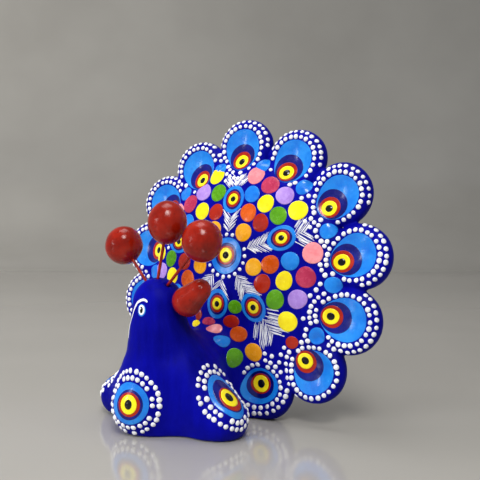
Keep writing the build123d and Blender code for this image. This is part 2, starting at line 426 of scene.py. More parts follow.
def matte_blue():
    """Ultramarine poster paint on clay: brushed, slightly chalky, a little darker in streaks."""
    material, tree, shader, at = start("ultramarine_clay")
    broad = noise(tree, at, 26.0, 3.0)
    brush = noise(tree, at, 240.0, 5.0, 0.6, (1.0, 1.0, 0.16))
    grain = noise(tree, at, 1700.0, 3.0, 0.6)
    colour = ramp(tree, broad, 0.3, 0.72, [srgb(2, 2, 114), srgb(3, 4, 140), srgb(6, 7, 158)])
    streak = ramp(tree, brush, 0.35, 0.7, [srgb(2, 2, 104), srgb(8, 11, 168)])
    colour = mix(tree, 0.32, colour, streak)
    chalk = spread(tree, grain, 0.55, 0.8, 0.0, 0.08)
    colour = mix(tree, chalk, colour, srgb(58, 66, 205))
    tree.links.new(colour, shader.inputs["Base Color"])
    tree.links.new(spread(tree, brush, 0.3, 0.75, 0.44, 0.62), shader.inputs["Roughness"])
    shader.inputs["Specular IOR Level"].default_value = 0.06
    tree.links.new(bump(tree, [(broad, 0.25, 0.0009), (brush, 0.3, 0.00022), (grain, 0.25, 0.00006)]),
                   shader.inputs["Normal"])
    return material


def gloss_paint(name, colour, darker, lighter, roughness, thin=None):
    """Thick glossy hobby paint laid on by hand: pools, faint brush lines, and a coat with small flaws."""
    material, tree, shader, at = start(name)
    broad = noise(tree, at, 95.0, 3.0)
    brush = noise(tree, at, 420.0, 4.0, 0.6, (1.0, 0.35, 1.0))
    speck = noise(tree, at, 2600.0, 2.0)
    base = ramp(tree, broad, 0.32, 0.7, [srgb(*darker), srgb(*colour), srgb(*lighter)])
    line = ramp(tree, brush, 0.35, 0.68, [srgb(*darker), srgb(*lighter)])
    base = mix(tree, 0.22, base, line)
    if thin is not None:
        worn = spread(tree, broad, 0.66, 0.8, 0.0, 0.55)
        base = mix(tree, worn, base, srgb(*thin))
    tree.links.new(base, shader.inputs["Base Color"])
    rough = spread(tree, brush, 0.3, 0.75, roughness * 0.75, roughness * 1.5)
    tree.links.new(rough, shader.inputs["Roughness"])
    shader.inputs["Specular IOR Level"].default_value = 0.35
    shader.inputs["Coat Weight"].default_value = 0.25
    shader.inputs["Coat Roughness"].default_value = 0.1
    tree.links.new(bump(tree, [(broad, 0.3, 0.0005), (brush, 0.22, 0.00012), (speck, 0.12, 0.00003)]),
                   shader.inputs["Normal"])
    return material


def brick_red(name, scale):
    """Brick-red enamel over hand-rolled clay, with dark dimples and dull patches."""
    material, tree, shader, at = start(name)
    lumps = noise(tree, at, 120.0 * scale, 4.0, 0.6)
    fine = noise(tree, at, 900.0, 4.0, 0.6)
    brush = noise(tree, at, 330.0, 4.0, 0.6, (0.3, 1.0, 1.0))
    colour = ramp(tree, lumps, 0.3, 0.72, [srgb(108, 14, 4), srgb(142, 24, 7), srgb(164, 34, 12)])
    colour = mix(tree, spread(tree, brush, 0.5, 0.8, 0.0, 0.35), colour, srgb(122, 20, 12))
    pits = node(tree, "ShaderNodeTexVoronoi", feature="F1")
    pits.inputs["Scale"].default_value = 260.0
    tree.links.new(at, pits.inputs["Vector"])
    pit = spread(tree, pits.outputs["Distance"], 0.05, 0.2, 0.0, 1.0)
    colour = mix(tree, spread(tree, pit, 0.0, 1.0, 0.4, 0.0), colour, srgb(80, 10, 7))
    tree.links.new(colour, shader.inputs["Base Color"])
    tree.links.new(spread(tree, lumps, 0.3, 0.7, 0.12, 0.22), shader.inputs["Roughness"])
    shader.inputs["Specular IOR Level"].default_value = 0.32
    tree.links.new(bump(tree, [(lumps, 0.3, 0.0006), (pit, 0.3, 0.00016), (fine, 0.5, 0.00016)]),
                   shader.inputs["Normal"])
    return material


# Each paint's colour, darker and lighter variants, roughness, and the colour that shows where it is thin
PAINT_COLOURS = {
    "light_blue": ((20, 122, 216), (10, 100, 204), (40, 142, 228), 0.2, (12, 70, 186)),
    "navy": ((6, 12, 108), (4, 6, 84), (10, 24, 136), 0.18),
    "red": ((160, 28, 8), (134, 16, 6), (178, 42, 14), 0.2),
    "yellow": ((244, 226, 14), (232, 204, 6), (250, 238, 48), 0.2),
    "black": ((10, 9, 12), (4, 4, 6), (24, 22, 26), 0.1),
    "white": ((236, 236, 238), (214, 216, 224), (248, 248, 248), 0.34),
    "amber": ((232, 156, 14), (216, 136, 8), (240, 174, 32), 0.24),
    "orange": ((204, 80, 4), (184, 62, 3), (218, 96, 12), 0.24),
    "green": ((82, 150, 12), (64, 128, 8), (100, 168, 28), 0.24),
    "pink": ((238, 134, 142), (226, 112, 124), (244, 156, 160), 0.24),
    "crimson": ((176, 46, 82), (156, 32, 66), (194, 66, 98), 0.24),
    "lilac": ((166, 130, 210), (148, 110, 196), (184, 152, 222), 0.24),
}
PAINTS = {name: gloss_paint("paint_" + name, *looks) for name, looks in PAINT_COLOURS.items()}


# ---------------------------------------------------------------- the clay itself
BLUE_NODES = ["body_bell", "front_foot", "left_foot", "right_foot", "tail_disc"]
BLUE_NODES += [f"tail_lobe_{i:02d}" for i in range(1, len(LOBES) + 1)]
CLAY_STEP = 0.95
GRID_MARGIN = 1.5
low, high = np.array(cad_box[0]) * MM_PER_M, np.array(cad_box[1]) * MM_PER_M
clay_vertices, clay_faces = surface_net(clay_distance, low - GRID_MARGIN, high + GRID_MARGIN, CLAY_STEP)
make_mesh("clay_figure", clay_vertices, clay_faces, matte_blue(), "figure", BLUE_NODES)


# ---------------------------------------------------------------- paint laid on the clay
def land(points, direction, reach=60.0):
    """Where rays from points along one direction meet the clay."""
    points = np.array(points, float)
    travelled = np.zeros(len(points))
    going = np.ones(len(points), bool)
    for _ in range(48):
        d = clay_distance(points[going] + direction[going] * travelled[going, None])
        travelled[going] += d * 0.85
        still = np.abs(d) > 0.004
        live = np.flatnonzero(going)
        going[live[~still]] = False
        going &= travelled < reach
        if not going.any():
            break
    return points + direction * travelled[:, None]


START_OFF = 4.5


def tail_start(right, up):
    """A spot a little in front of the tail's own face, from which paint is laid straight back."""
    return tail_point(right, up, RIM_FRONT + CROWN_HEIGHT * max(crown_share(right, up), 0.0) + START_OFF)


def open_to_paint(right, up):
    """Whether the tail's face is free there, with no body or foot in front of it."""
    return clay_distance(tail_start(right, up)[None])[0] > 1.0


def anchors_on_tail(spots):
    """Where spots on the tail's front are, and the clay's own normals there."""
    starts = np.array([tail_start(*spot) for spot in spots])
    hits = land(starts, np.tile(-TAIL_FRONT, (len(starts), 1)))
    return hits, gradient(clay_distance, hits)


def anchor_on_tail(right, up):
    hits, normals = anchors_on_tail([(right, up)])
    return hits[0], normals[0]


def nearest(point):
    """The clay's surface point nearest a point, and the normal there."""
    point = np.array(point, float)[None]
    for _ in range(12):
        normal = gradient(clay_distance, point)
        point = point - normal * clay_distance(point)[:, None]
    return point[0], gradient(clay_distance, point)[0]


class Paint:
    """Gathers every touch of one colour, then lays them all on the clay as one thin raised mesh."""

    def __init__(self):
        self.points, self.rays, self.lifts, self.faces, self.count = [], [], [], [], 0

    def add(self, points, ray, lifts, faces):
        self.points.append(points)
        self.rays.append(np.broadcast_to(ray, (len(points), 3)))
        self.lifts.append(lifts)
        self.faces += [[self.count + i for i in face] for face in faces]
        self.count += len(points)

    def build(self, colour):
        points, rays = np.concatenate(self.points), np.concatenate(self.rays)
        hits = land(points, -rays)
        normals = gradient(clay_distance, hits)
        vertices = hits + normals * np.concatenate(self.lifts)[:, None]
        make_mesh("paint_" + colour, vertices, self.faces, PAINTS[colour], "figure")


touches = {colour: Paint() for colour in PAINTS}
TUCK = -0.15                     # how far a touch's edge is turned down into the clay
LAYER_LIFT, FIRST_LIFT = 0.09, 0.07
DOT_RADIUS, INNER_DOT_RADIUS, FOOT_DOT_RADIUS = 1.16, 0.98, 1.2


def frame_at(normal, hint):
    """Two directions across a normal, the second as near the hint as it can be."""
    b = unit(hint - normal * (hint @ normal))
    return np.cross(b, normal), b


def blob(colour, hit, normal, a_dir, b_dir, a, b, lift, crown, egg=0.0, wobble=0.02, rings=4, sides=20,
         round_top=2.0, stand=6.0):
    """A filled touch of paint, a and b its half sizes along a_dir and b_dir.

    It stands lift off the clay, and crown more at its middle. egg widens it towards b_dir, wobble is its
    unevenness, and stand is how far out its points start on their way down to the clay.
    """
    phase, second = RNG.uniform(0, 6.28), RNG.uniform(0, 6.28)
    points, lifts = [hit + normal * stand], [lift + crown]
    for ring in range(1, rings + 2):
        share = min(ring, rings) / rings
        share = math.sin(share * math.pi / 2) if rings > 2 else share
        for i in range(sides):
            angle = 2 * math.pi * i / sides
            uneven = 1 + wobble * (math.sin(2 * angle + phase) + 0.6 * math.sin(3 * angle + second))
            x = a * share * uneven * math.cos(angle) * (1 + egg * math.sin(angle))
            y = b * share * uneven * math.sin(angle)
            points.append(hit + a_dir * x + b_dir * y + normal * stand)
            lifts.append(TUCK if ring > rings else lift + crown * (1 - share ** round_top))
    faces = [[0, 1 + i, 1 + (i + 1) % sides] for i in range(sides)]
    for ring in range(rings):
        inner, outer = 1 + ring * sides, 1 + (ring + 1) * sides
        for i in range(sides):
            after = (i + 1) % sides
            faces.append([inner + i, outer + i, outer + after, inner + after])
    touches[colour].add(np.array(points), normal, np.array(lifts), faces)


def eye(hit, normal, a_dir, b_dir, layers, first=0):
    """Stacked touches: each is colour, centre along b_dir, half width, half length, and egg."""
    for level, (colour, shift, a, b, egg) in enumerate(layers, first):
        crown = 0.45 if colour == "black" else 0.05
        lift = FIRST_LIFT + LAYER_LIFT * level
        blob(colour, hit + b_dir * shift, normal, a_dir, b_dir, a, b, lift, crown, egg,
             wobble=0.012, rings=max(3, round(a / 1.1)), sides=40 if a > 5 else 28)


def round_touch(colour, hit, normal, a_dir, b_dir, a, b, lift=0.14, crown=0.3):
    """A flat-topped round touch of thick paint."""
    blob(colour, hit, normal, a_dir, b_dir, a, b, lift, crown, wobble=0.03, sides=24, round_top=3.0)


def dot(hit, normal, radius=DOT_RADIUS):
    """A white bead of paint from the end of a stick."""
    a_dir, b_dir = frame_at(normal, np.array([0.1, 0.05, 1.0]))
    size = radius * RNG.uniform(0.88, 1.1)
    blob("white", hit, normal, a_dir, b_dir, size, size * RNG.uniform(0.94, 1.06), 0.1, 0.42 * size,
         wobble=0.03, rings=3, sides=12, round_top=2.6, stand=1.5)


def clear_of(point, others, margin):
    """Whether a spot is more than a margin outside every circle, each a centre and a radius."""
    return all(np.hypot(*(np.asarray(point) - centre)) > margin + radius for centre, radius in others)


# The big touches on the tail. taken lists what is already painted, first the flank's touches, which lie
# on the body's back but in front of the tail
PAINT_SHIFT = np.array([-2.2, -2.6])
CENTRE_EYE = np.array([0.0, 8.0]) + PAINT_SHIFT
taken = [(np.array([14.6, -42.0]), 4.6), (np.array([5.8, -45.7]), 4.8), (np.array([6.8, -33.7]), 4.5),
         (np.array([2.3, -27.7]), 4.3), (np.array([4.4, -20.7]), 3.8)]

LOBE_EYE = [("navy", -3.9, 7.6, 7.6, 0.06), ("red", -5.8, 5.3, 5.3, 0.0), ("yellow", -6.4, 3.8, 3.9, 0.0),
            ("black", -6.6, 1.8, 1.9, 0.0)]
LOW_LOBE_EYE = [("navy", -0.5, 7.4, 6.7, 0.0), ("red", -1.0, 5.4, 5.1, 0.0),
                ("yellow", -1.0, 4.3, 4.2, 0.0), ("black", -1.0, 2.0, 2.1, 0.0)]
for index in range(len(LOBES)):
    centre, outward, sideways = oval_of(index)
    if not open_to_paint(*centre):
        continue
    hit, _ = anchor_on_tail(*centre)
    b_dir = TAIL_RIGHT * outward[0] + TAIL_UP * outward[1]
    a_dir = TAIL_RIGHT * sideways[0] + TAIL_UP * sideways[1]
    a, b = oval_size(index)
    layers = [("light_blue", 0.0, a, b, OVAL_EGG)] + (LOW_LOBE_EYE if index in LOW_LOBES else LOBE_EYE)
    eye(hit, TAIL_FRONT, a_dir, b_dir, layers)

CENTRE_LAYERS = [("light_blue", 0.0, 9.0, 9.5, 0.0), ("navy", 0.2, 6.2, 6.5, 0.0),
                 ("red", 0.2, 5.0, 5.0, 0.0), ("yellow", 0.2, 3.7, 3.8, 0.0), ("black", 0.2, 1.8, 1.85, 0.0)]
hit, normal = anchor_on_tail(*CENTRE_EYE)
a_dir, b_dir = frame_at(normal, TAIL_UP)
eye(hit, normal, a_dir, b_dir, CENTRE_LAYERS)
taken.append((CENTRE_EYE, 9.2))

RADIAL_LAYERS = [("light_blue", 0.0, 6.3, 7.7, 0.0), ("navy", 0.0, 4.7, 5.7, 0.0),
                 ("red", 0.0, 4.0, 4.5, 0.0), ("yellow", 0.0, 2.9, 3.1, 0.0), ("black", 0.0, 1.45, 1.5, 0.0)]
RADIAL_EYES = [(90.0, 30.0), (18.0, 31.5), (-56.0, 30.5), (-99.0, 25.2), (168.0, 34.0)]
for bearing, reach in RADIAL_EYES:
    outward = heading(math.radians(bearing))
    centre = CENTRE_EYE + outward * reach
    hit, normal = anchor_on_tail(*centre)
    a_dir, b_dir = frame_at(normal, TAIL_RIGHT * outward[0] + TAIL_UP * outward[1])
    eye(hit, normal, a_dir, b_dir, RADIAL_LAYERS)
    taken.append((centre, 7.2))


def stroke(points, normals, widths, lift=0.1):
    """A thin brush stroke through surface points, with a width at each, raised along its middle."""
    count = len(points)
    rows, faces = [], []
    for i in range(count):
        ahead = unit(points[min(i + 1, count - 1)] - points[max(i - 1, 0)])
        side = unit(np.cross(normals[i], ahead))
        for offset in (-0.5, 0.0, 0.5):
            rows.append(points[i] + side * offset * widths[i] + normals[i] * 5)
    for i in range(count - 1):
        a, b = 3 * i, 3 * i + 3
        faces += [[a, a + 1, b + 1, b], [a + 1, a + 2, b + 2, b + 1]]
    lifts = np.array([lift - 0.07, lift + 0.07, lift - 0.07] * count)
    touches["white"].add(np.array(rows), np.repeat(normals, 3, axis=0), lifts, faces)


def pointed(count, width):
    """Widths along a stroke that is widest in its middle and pointed at its ends."""
    return [width * (0.25 + 0.75 * math.sin(math.pi * ((i + 0.4) / count))) for i in range(count)]


strokes = []


def feather(bearing, first, last, wide):
    """A painted feather: slanted strokes either side of a spine that runs out from the centre eye."""
    outward = heading(math.radians(bearing))
    sideways = np.array([-outward[1], outward[0]])
    reach = first
    while reach < last:
        share = (reach - first) / (last - first)
        for side in (-1, 1):
            for layer in range(2):
                slant = math.radians(RNG.uniform(38, 50))
                across = (1.8 + wide * min(1.0, 0.3 + 1.4 * share)) / math.sin(slant)
                length = across * RNG.uniform(0.82, 1.08)
                begin = CENTRE_EYE + outward * (reach + RNG.uniform(-0.5, 0.5))
                begin = begin + sideways * side * RNG.uniform(-0.5, 0.3)
                way = outward * math.cos(slant) + sideways * side * math.sin(slant)
                spots = [begin + way * length * i / 4 for i in range(5)]
                spots = [spot for spot in spots if clear_of(spot, taken, -0.2)
                         and np.hypot(*(spot - CENTRE_EYE)) < last + 3.2]
                if len(spots) < 3:
                    continue
                width = RNG.uniform(0.26, 0.36)
                if all(open_to_paint(*spot) for spot in spots):
                    strokes.append((spots, width))
        reach += 1.0


# Bearing from the centre eye, where the spine starts and stops, and half the feather's width
FEATHERS = [(90.0, 12.5, 41.5, 5.4), (18.0, 12.5, 44.0, 5.2), (-54.0, 12.5, 47.5, 7.4),
            (-99.0, 12.5, 20.0, 6.4), (162.0, 12.5, 47.0, 5.6), (-126.0, 12.5, 25.0, 6.8)]
for bearing, first, last, wide in FEATHERS:
    feather(bearing, first, last, wide)
hits, normals = anchors_on_tail([spot for spots, _ in strokes for spot in spots])
done = 0
for spots, width in strokes:
    upto = done + len(spots)
    stroke(hits[done:upto], normals[done:upto], pointed(len(spots), width))
    done = upto

# Between the feathers lie groups of round touches, one more in each row outward
ROWS = [["amber"], ["orange", "red"], ["light_blue", "yellow", "green"],
        ["pink", "crimson", "lilac", "yellow"]]
WEDGES = [(54.5, (15.3, 24.6, 34.0, 43.0), (0, 9.5, 9.8, 10.6)),
          (-19.0, (17.0, 25.4, 35.0, 44.6), (0, 10.2, 10.5, 11.9)),
          (-162.0, (17.5, 28.0, 38.0, 47.0), (0, 10.0, 10.0, 10.4))]
UPPER_LEFT = [("amber", -9.0, 21.5), ("red", -10.0, 31.0), ("orange", -18.8, 22.3), ("yellow", -19.5, 31.5),
              ("light_blue", -28.5, 26.0), ("green", -10.5, 41.8), ("lilac", -20.5, 43.0),
              ("crimson", -29.0, 36.5),
              ("yellow", -13.5, 51.8), ("pink", -38.0, 32.0)]
SMALL_RED, SMALL_RADIUS = (37.0, -32.5), 3.2
round_touches = []
for bearing, reaches, gaps in WEDGES:
    outward = heading(math.radians(bearing))
    clockwise = np.array([outward[1], -outward[0]])
    for colours, reach, gap in zip(ROWS, reaches, gaps):
        for place, colour in enumerate(colours):
            offset = (place - (len(colours) - 1) / 2) * gap
            centre = CENTRE_EYE + outward * (reach - abs(offset) * 0.1) + clockwise * offset
            round_touches.append((colour, centre, None))
round_touches += [(colour, np.array([right, up]) + PAINT_SHIFT, None) for colour, right, up in UPPER_LEFT]
round_touches.append(("red", np.array(SMALL_RED) + PAINT_SHIFT, SMALL_RADIUS))
for colour, centre, fixed_radius in round_touches:
    centre = centre + np.array([RNG.uniform(-0.4, 0.4), RNG.uniform(-0.4, 0.4)])
    if not clear_of(centre, taken, 2.6) or not open_to_paint(*centre):
        continue
    hit, normal = anchor_on_tail(*centre)
    a_dir, b_dir = frame_at(normal, TAIL_UP)
    radius = RNG.uniform(4.3, 4.7) + 0.35 * (np.hypot(*(centre - CENTRE_EYE)) > 40)
    radius = fixed_radius or radius
    round_touch(colour, hit, normal, a_dir, b_dir, radius, radius * RNG.uniform(0.98, 1.1))
    taken.append((centre, radius))

# A pale touch in each notch between two lobes
notch_touches = []
NOTCH_SET_IN = [9.2, 9.2, 9.2, 9.2, 9.2, 9.4, 9.6, 10.4, 12.2, 11.2, 9.0]
for (bearing, ring), (other, other_ring), set_in in zip(LOBES, LOBES[1:], NOTCH_SET_IN):
    centre = heading(math.radians((bearing + other) / 2)) * ((ring + other_ring) / 2 - set_in)
    if not open_to_paint(*centre):
        continue
    hit, _ = anchor_on_tail(*centre)
    round_touch("light_blue", hit, TAIL_FRONT, TAIL_RIGHT, TAIL_UP, 3.9, 4.0, 0.12, 0.25)
    taken.append((centre, 4.0))
    notch_touches.append(centre)

# White dots, row by row, wherever there is room
placed = []
INNER_ROW, OUTER_ROW, FILLING_ROW = 1.6, 4.5, 7.4    # how far outside a lobe's oval each row lies
CLOSEST, CLOSEST_ROUND, CLOSEST_FILLING = 2.45, 2.5, 2.75


def outline_room(point):
    """How far inside the tail's outline a tail-frame spot lies."""
    room = 57.0 - np.hypot(*point)
    for bearing, ring in LOBES:
        spot = heading(math.radians(bearing)) * ring
        room = max(room, LOBE_RADIUS - np.hypot(*(point - spot)))
    return room


def in_any_oval(point, margin):
    for index in range(len(LOBES)):
        centre, outward, sideways = oval_of(index)
        along, across = (point - centre) @ outward, (point - centre) @ sideways
        a, b = oval_size(index)
        across = across / (1 + OVAL_EGG * along / b)
        if math.hypot(along / (b + margin), across / (a + margin)) < 1:
            return True
    return False


def tail_dot(point, spacing):
    """Notes a dot at a tail spot, unless paint, the edge or another dot is too near."""
    if not clear_of(point, taken, 1.1) or in_any_oval(point, 0.9) or outline_room(point) < 0.4:
        return
    if any(np.hypot(*(point - other)) < spacing for other in placed):
        return
    placed.append(point)


for index in range(len(LOBES)):
    centre, outward, sideways = oval_of(index)
    a, b = oval_size(index)
    for away, step, phase in ((INNER_ROW, 3.0, 0), (OUTER_ROW, 3.15, 0.5)):
        around = 2 * math.pi * ((a + b) / 2 + away)
        count = int(around / step)
        for i in range(count):
            angle = 2 * math.pi * (i + phase) / count + RNG.uniform(-0.02, 0.02)
            egg = 1 + OVAL_EGG * math.sin(angle)
            spot = sideways * (a + away) * math.cos(angle) * egg + outward * (b + away) * math.sin(angle)
            nudge = np.array([RNG.uniform(-0.15, 0.15), RNG.uniform(-0.15, 0.15)])
            tail_dot(centre + spot + nudge, CLOSEST)
for centre in notch_touches:
    for i in range(12):
        angle = 2 * math.pi * (i + RNG.uniform(-0.1, 0.1)) / 12
        tail_dot(centre + heading(angle) * 5.8, CLOSEST_ROUND)
for index in range(len(LOBES)):
    centre, outward, sideways = oval_of(index)
    a, b = (half + FILLING_ROW for half in oval_size(index))
    for i in range(28):
        angle = 2 * math.pi * i / 28
        spot = centre + sideways * a * math.cos(angle) + outward * b * math.sin(angle)
        if 44 < np.hypot(*spot) < DISC_RADIUS:
            tail_dot(spot, CLOSEST_FILLING)
for i in range(19):
    tail_dot(CENTRE_EYE + heading(2 * math.pi * i / 19) * 11.0, CLOSEST_ROUND)

hits, normals = anchors_on_tail(placed)
for point, hit, normal in zip(placed, hits, normals):
    roomy = clay_distance((hit + normal * 3)[None])[0] > 2.0
    if open_to_paint(*point) and normal @ TAIL_FRONT > 0.35 and roomy:
        dot(hit, normal, INNER_DOT_RADIUS if np.hypot(*(point - CENTRE_EYE)) < 14 else DOT_RADIUS)


# ---------------------------------------------------------------- paint on the feet, the head and the body
STRIDE, STRIDES = 0.4, 90


def rows_round(hit, normal, a_dir, b_dir, a, b, aways):
    """Lines on the clay that go round an oval, each so far outside it along the surface."""
    turn = np.linspace(0, 2 * math.pi, 96, endpoint=False)
    way = np.outer(a * np.cos(turn), a_dir) + np.outer(b * np.sin(turn), b_dir)
    edge = np.linalg.norm(way, axis=1)
    way /= edge[:, None]
    at = np.tile(hit, (len(turn), 1))
    beyond = np.zeros(len(turn))
    lines = [np.full((len(turn), 3), np.nan) for _ in aways]
    for _ in range(STRIDES):
        at = at + way * STRIDE
        for _ in range(2):
            slope = gradient(clay_distance, at)
            at = at - slope * clay_distance(at)[:, None]
        way = way - slope * (way * slope).sum(1)[:, None]
        way /= np.linalg.norm(way, axis=1)[:, None]
        flat = at - hit
        flat = flat - np.outer(flat @ normal, normal)
        beyond += STRIDE * ((np.linalg.norm(flat, axis=1) >= edge) | (beyond > 0))
        for line, away in zip(lines, aways):
            fresh = np.isnan(line[:, 0]) & (beyond >= away)
            line[fresh] = at[fresh]
    return lines


body_dots = []


def dot_rows(hit, normal, a_dir, b_dir, a, b, aways, step=3.0):
    """Rows of dots round an oval on the body, evenly spaced, clear of the table and of other rows."""
    for line in rows_round(hit, normal, a_dir, b_dir, a, b, aways):
        line = line[~np.isnan(line[:, 0])]
        closed = np.vstack([line, line[:1]])
        gaps = np.linalg.norm(np.diff(closed, axis=0), axis=1)
        even = gaps.sum() / round(gaps.sum() / step)
        walked = even
        for point, gap in zip(line, gaps):
            walked += gap
            if walked < even or point[2] < 2.0:
                continue
            walked -= even
            if any(np.linalg.norm(point - other) < CLOSEST_ROUND for other in body_dots):
                continue
            spot, slope = nearest(point)
            if slope[2] < -0.72:
                continue
            body_dots.append(spot)
            dot(spot, slope, FOOT_DOT_RADIUS)


FRONT_EYE = [("navy", -0.4, 6.7, 6.7, 0.0), ("red", -0.3, 5.6, 5.3, 0.0), ("yellow", -0.3, 4.1, 4.2, 0.0),
             ("black", -0.3, 1.8, 2.15, 0.0)]
SIDE_EYE = [("navy", -1.3, 5.8, 8.9, 0.0), ("red", 0.7, 4.8, 6.2, 0.0), ("yellow", 0.0, 3.8, 4.7, 0.0),
            ("black", -0.2, 1.8, 2.3, 0.0)]
# Each foot's oval: its place, the way its length runs, half sizes and egg, then the eye's place and layers
FEET_EYES = [((-0.3, -71.2, 16.0), (0.0, 0.0, 1.0), 9.6, 9.4, 0.0, (0.1, -71.0, 15.8), FRONT_EYE, 1.0),
             ((33.2, -42.4, 18.5), (15.0, 2.4, -17.1), 7.3, 11.4, -0.05,
              (34.6, -41.9, 18.0), SIDE_EYE, 1.0),
             ((-38.4, -44.0, 17.0), (-13.0, 0.0, -15.0), 6.9, 9.4, -0.1,
              (-38.8, -43.6, 17.0), SIDE_EYE, 0.86)]
for spot, hint, a, b, egg, inner, layers, scale in FEET_EYES:
    hit, normal = nearest(body_point(*spot))
    a_dir, b_dir = frame_at(normal, np.array(hint))
    eye(hit, normal, a_dir, b_dir, [("light_blue", 0.0, a, b, egg)])
    dot_rows(hit, normal, a_dir, b_dir, a, b, (1.7, 4.9))
    hit, normal = nearest(body_point(*inner))
    a_dir, b_dir = frame_at(normal, np.array(hint))
    scaled = [(colour, *(size * scale for size in sizes), egg) for colour, *sizes, egg in layers]
    eye(hit, normal, a_dir, b_dir, scaled, first=1)

HEAD_TURN = math.radians(100)    # from the peacock's own front, towards its left
BEAK_WAY = np.array([math.sin(HEAD_TURN), -math.cos(HEAD_TURN), 0])
BEAK_SIDE = np.array([-BEAK_WAY[1], BEAK_WAY[0], 0])
HEAD_AXIS = body_point(-0.4, -52.4, 0)


def near_side(point):
    return point


def far_side(point):
    """The same spot on the other side of the head."""
    return point - 2 * BEAK_SIDE * ((point - HEAD_AXIS) @ BEAK_SIDE)


HEAD_EYE = [("light_blue", 0.0, 2.2, 2.85, 0.0), ("white", 0.15, 1.75, 2.35, 0.0),
            ("black", 0.1, 0.85, 1.5, 0.0)]
BROW = [(3.9, -63.3, 60.9), (3.2, -63.5, 61.7), (1.4, -63.8, 61.9), (-1.3, -63.9, 60.5),
        (-3.4, -63.5, 57.9), (-5.0, -63.2, 54.8), (-6.5, -63.0, 50.9), (-7.5, -62.8, 47.0), (-7.9, -63.0, 43.4)]
BROW_WIDTHS = [0.6, 1.0, 1.15, 1.1, 1.0, 0.9, 0.75, 0.55, 0.3]
brow = np.array([body_point(*point) for point in BROW])
brow_steps = np.linspace(0, len(BROW) - 1, 41)
brow_curve = []
for t in brow_steps:
    i = min(int(t), len(BROW) - 2)
    t -= i
    a, b, c, d = (brow[min(max(i + k, 0), len(BROW) - 1)] for k in (-1, 0, 1, 2))
    curve = 2 * b + (c - a) * t + (2 * a - 5 * b + 4 * c - d) * t ** 2
    brow_curve.append(0.5 * (curve + (3 * b - a - 3 * c + d) * t ** 3))
for place_on in (near_side, far_side):
    hit, normal = nearest(place_on(body_point(1.3, -64.3, 57.2)))
    a_dir, b_dir = frame_at(normal, np.array([0.0, 0.0, 1.0]))
    eye(hit, normal, a_dir, b_dir, HEAD_EYE)
    # A painted highlight: a tiny white touch on the pupil, standing in for the light's reflection
    glint, slope = nearest(hit + b_dir * 0.7 - a_dir * 0.15)
    blob("white", glint, slope, a_dir, b_dir, 0.28, 0.36, 0.62, 0.05, rings=2, sides=12)
    line = [nearest(place_on(point)) for point in brow_curve]
    widths = np.interp(brow_steps, range(len(BROW)), BROW_WIDTHS)
    stroke([spot for spot, _ in line], np.array([slope for _, slope in line]), widths, 0.16)

# Touches on the back, beside the body: body point and half sizes
FLANK = [("green", 15.9, -14.5, 55.0, 3.9, 3.5), ("red", 13.9, -14.9, 47.6, 4.5, 3.3),
         ("orange", 18.2, -14.1, 41.6, 4.6, 4.0), ("pink", 6.2, -19.2, 43.4, 4.2, 2.9),
         ("crimson", 0.9, -17.6, 46.7, 4.0, 2.2), ("light_blue", 12.3, -20.8, 38.2, 4.6, 3.4),
         ("green", 17.5, -17.2, 29.9, 4.8, 4.8), ("amber", 25.7, -11.7, 33.0, 4.6, 4.6),
         ("yellow", -7.2, -18.2, 44.8, 3.2, 1.9), ("red", -6.6, -16.8, 49.4, 2.2, 3.0)]
for colour, x, y, z, a, b in FLANK:
    hit, normal = nearest(body_point(x, y, z))
    a_dir, b_dir = frame_at(normal, TAIL_UP)
    round_touch(colour, hit, normal, a_dir, b_dir, a, b)

for colour, paint in touches.items():
    if paint.count:
        paint.build(colour)


# ---------------------------------------------------------------- beak, balls and wires
RED_BEAK, RED_BALL = brick_red("red_beak", 1.0), brick_red("red_ball", 0.8)
RED_WIRE = brick_red("red_wire", 2.0)
BUTT, BUTT_RADIUS = body_point(0, -52.5, 61.2) + BEAK_WAY * 16.6, 7.3
TIP, TIP_RADIUS = body_point(0, -52.5, 66.4) + BEAK_WAY * 22.9, 5.3
BEAK_STEP, BALL_STEP = 0.55, 0.6
BALL_HEIGHTS = {"1": 1.04, "2": 1.12, "3": 1.05}
BALL_SET_IN = 0.1                # keeps the balls' unevenness inside their CAD size
WIRE_RADIUS, WIRE_SIDES, WIRE_END_SHARE = 0.72, 16, 0.35


def beak_distance(P):
    return cone(P, BUTT, TIP, BUTT_RADIUS, TIP_RADIUS) + 0.1 * waves(P, 11.0, 21)


def make_ball(number, ball, radius):
    """A hand-rolled ball, a little taller than it is wide."""
    def ball_distance(P):
        stretch = np.array([1.0, 1.0, BALL_HEIGHTS[number]])
        d = np.linalg.norm((P - ball) / stretch, axis=1) - (radius - BALL_SET_IN)
        return d + 0.12 * waves(P, 12.0, 30 + int(number)) + 0.02 * waves(P, 4.0, 40 + int(number))

    vertices, faces = surface_net(ball_distance, ball - radius * 1.2, ball + radius * 1.2, BALL_STEP)
    make_mesh("ball_" + number, vertices, faces, RED_BALL, "crest_" + number,
              ["crest_ball_" + number])


def make_wire(name, number, foot, direction, low_end, high_end, rings, body):
    """A length of wire along a direction from its foot, with rounded ends."""
    side, other = frame_at(direction, np.array([0.0, 1.0, 0.0]))
    vertices, faces, sides = [], [], WIRE_SIDES
    for ring in range(rings + 1):
        height = low_end + (high_end - low_end) * ring / rings
        size = WIRE_RADIUS + 0.03 * math.sin(height * 1.7 + int(number))
        size *= WIRE_END_SHARE if ring in (0, rings) else 1.0
        for i in range(sides):
            angle = 2 * math.pi * i / sides
            across = side * math.cos(angle) + other * math.sin(angle)
            vertices.append(foot + direction * height + across * size)
    for ring in range(rings):
        a, b = ring * sides, (ring + 1) * sides
        faces += [[a + i, a + (i + 1) % sides, b + (i + 1) % sides, b + i] for i in range(sides)]
    faces.append(list(range(sides))[::-1])
    faces.append([rings * sides + i for i in range(sides)])
    make_mesh(name + number, vertices, faces, RED_WIRE, body, ["crest_" + name + number])


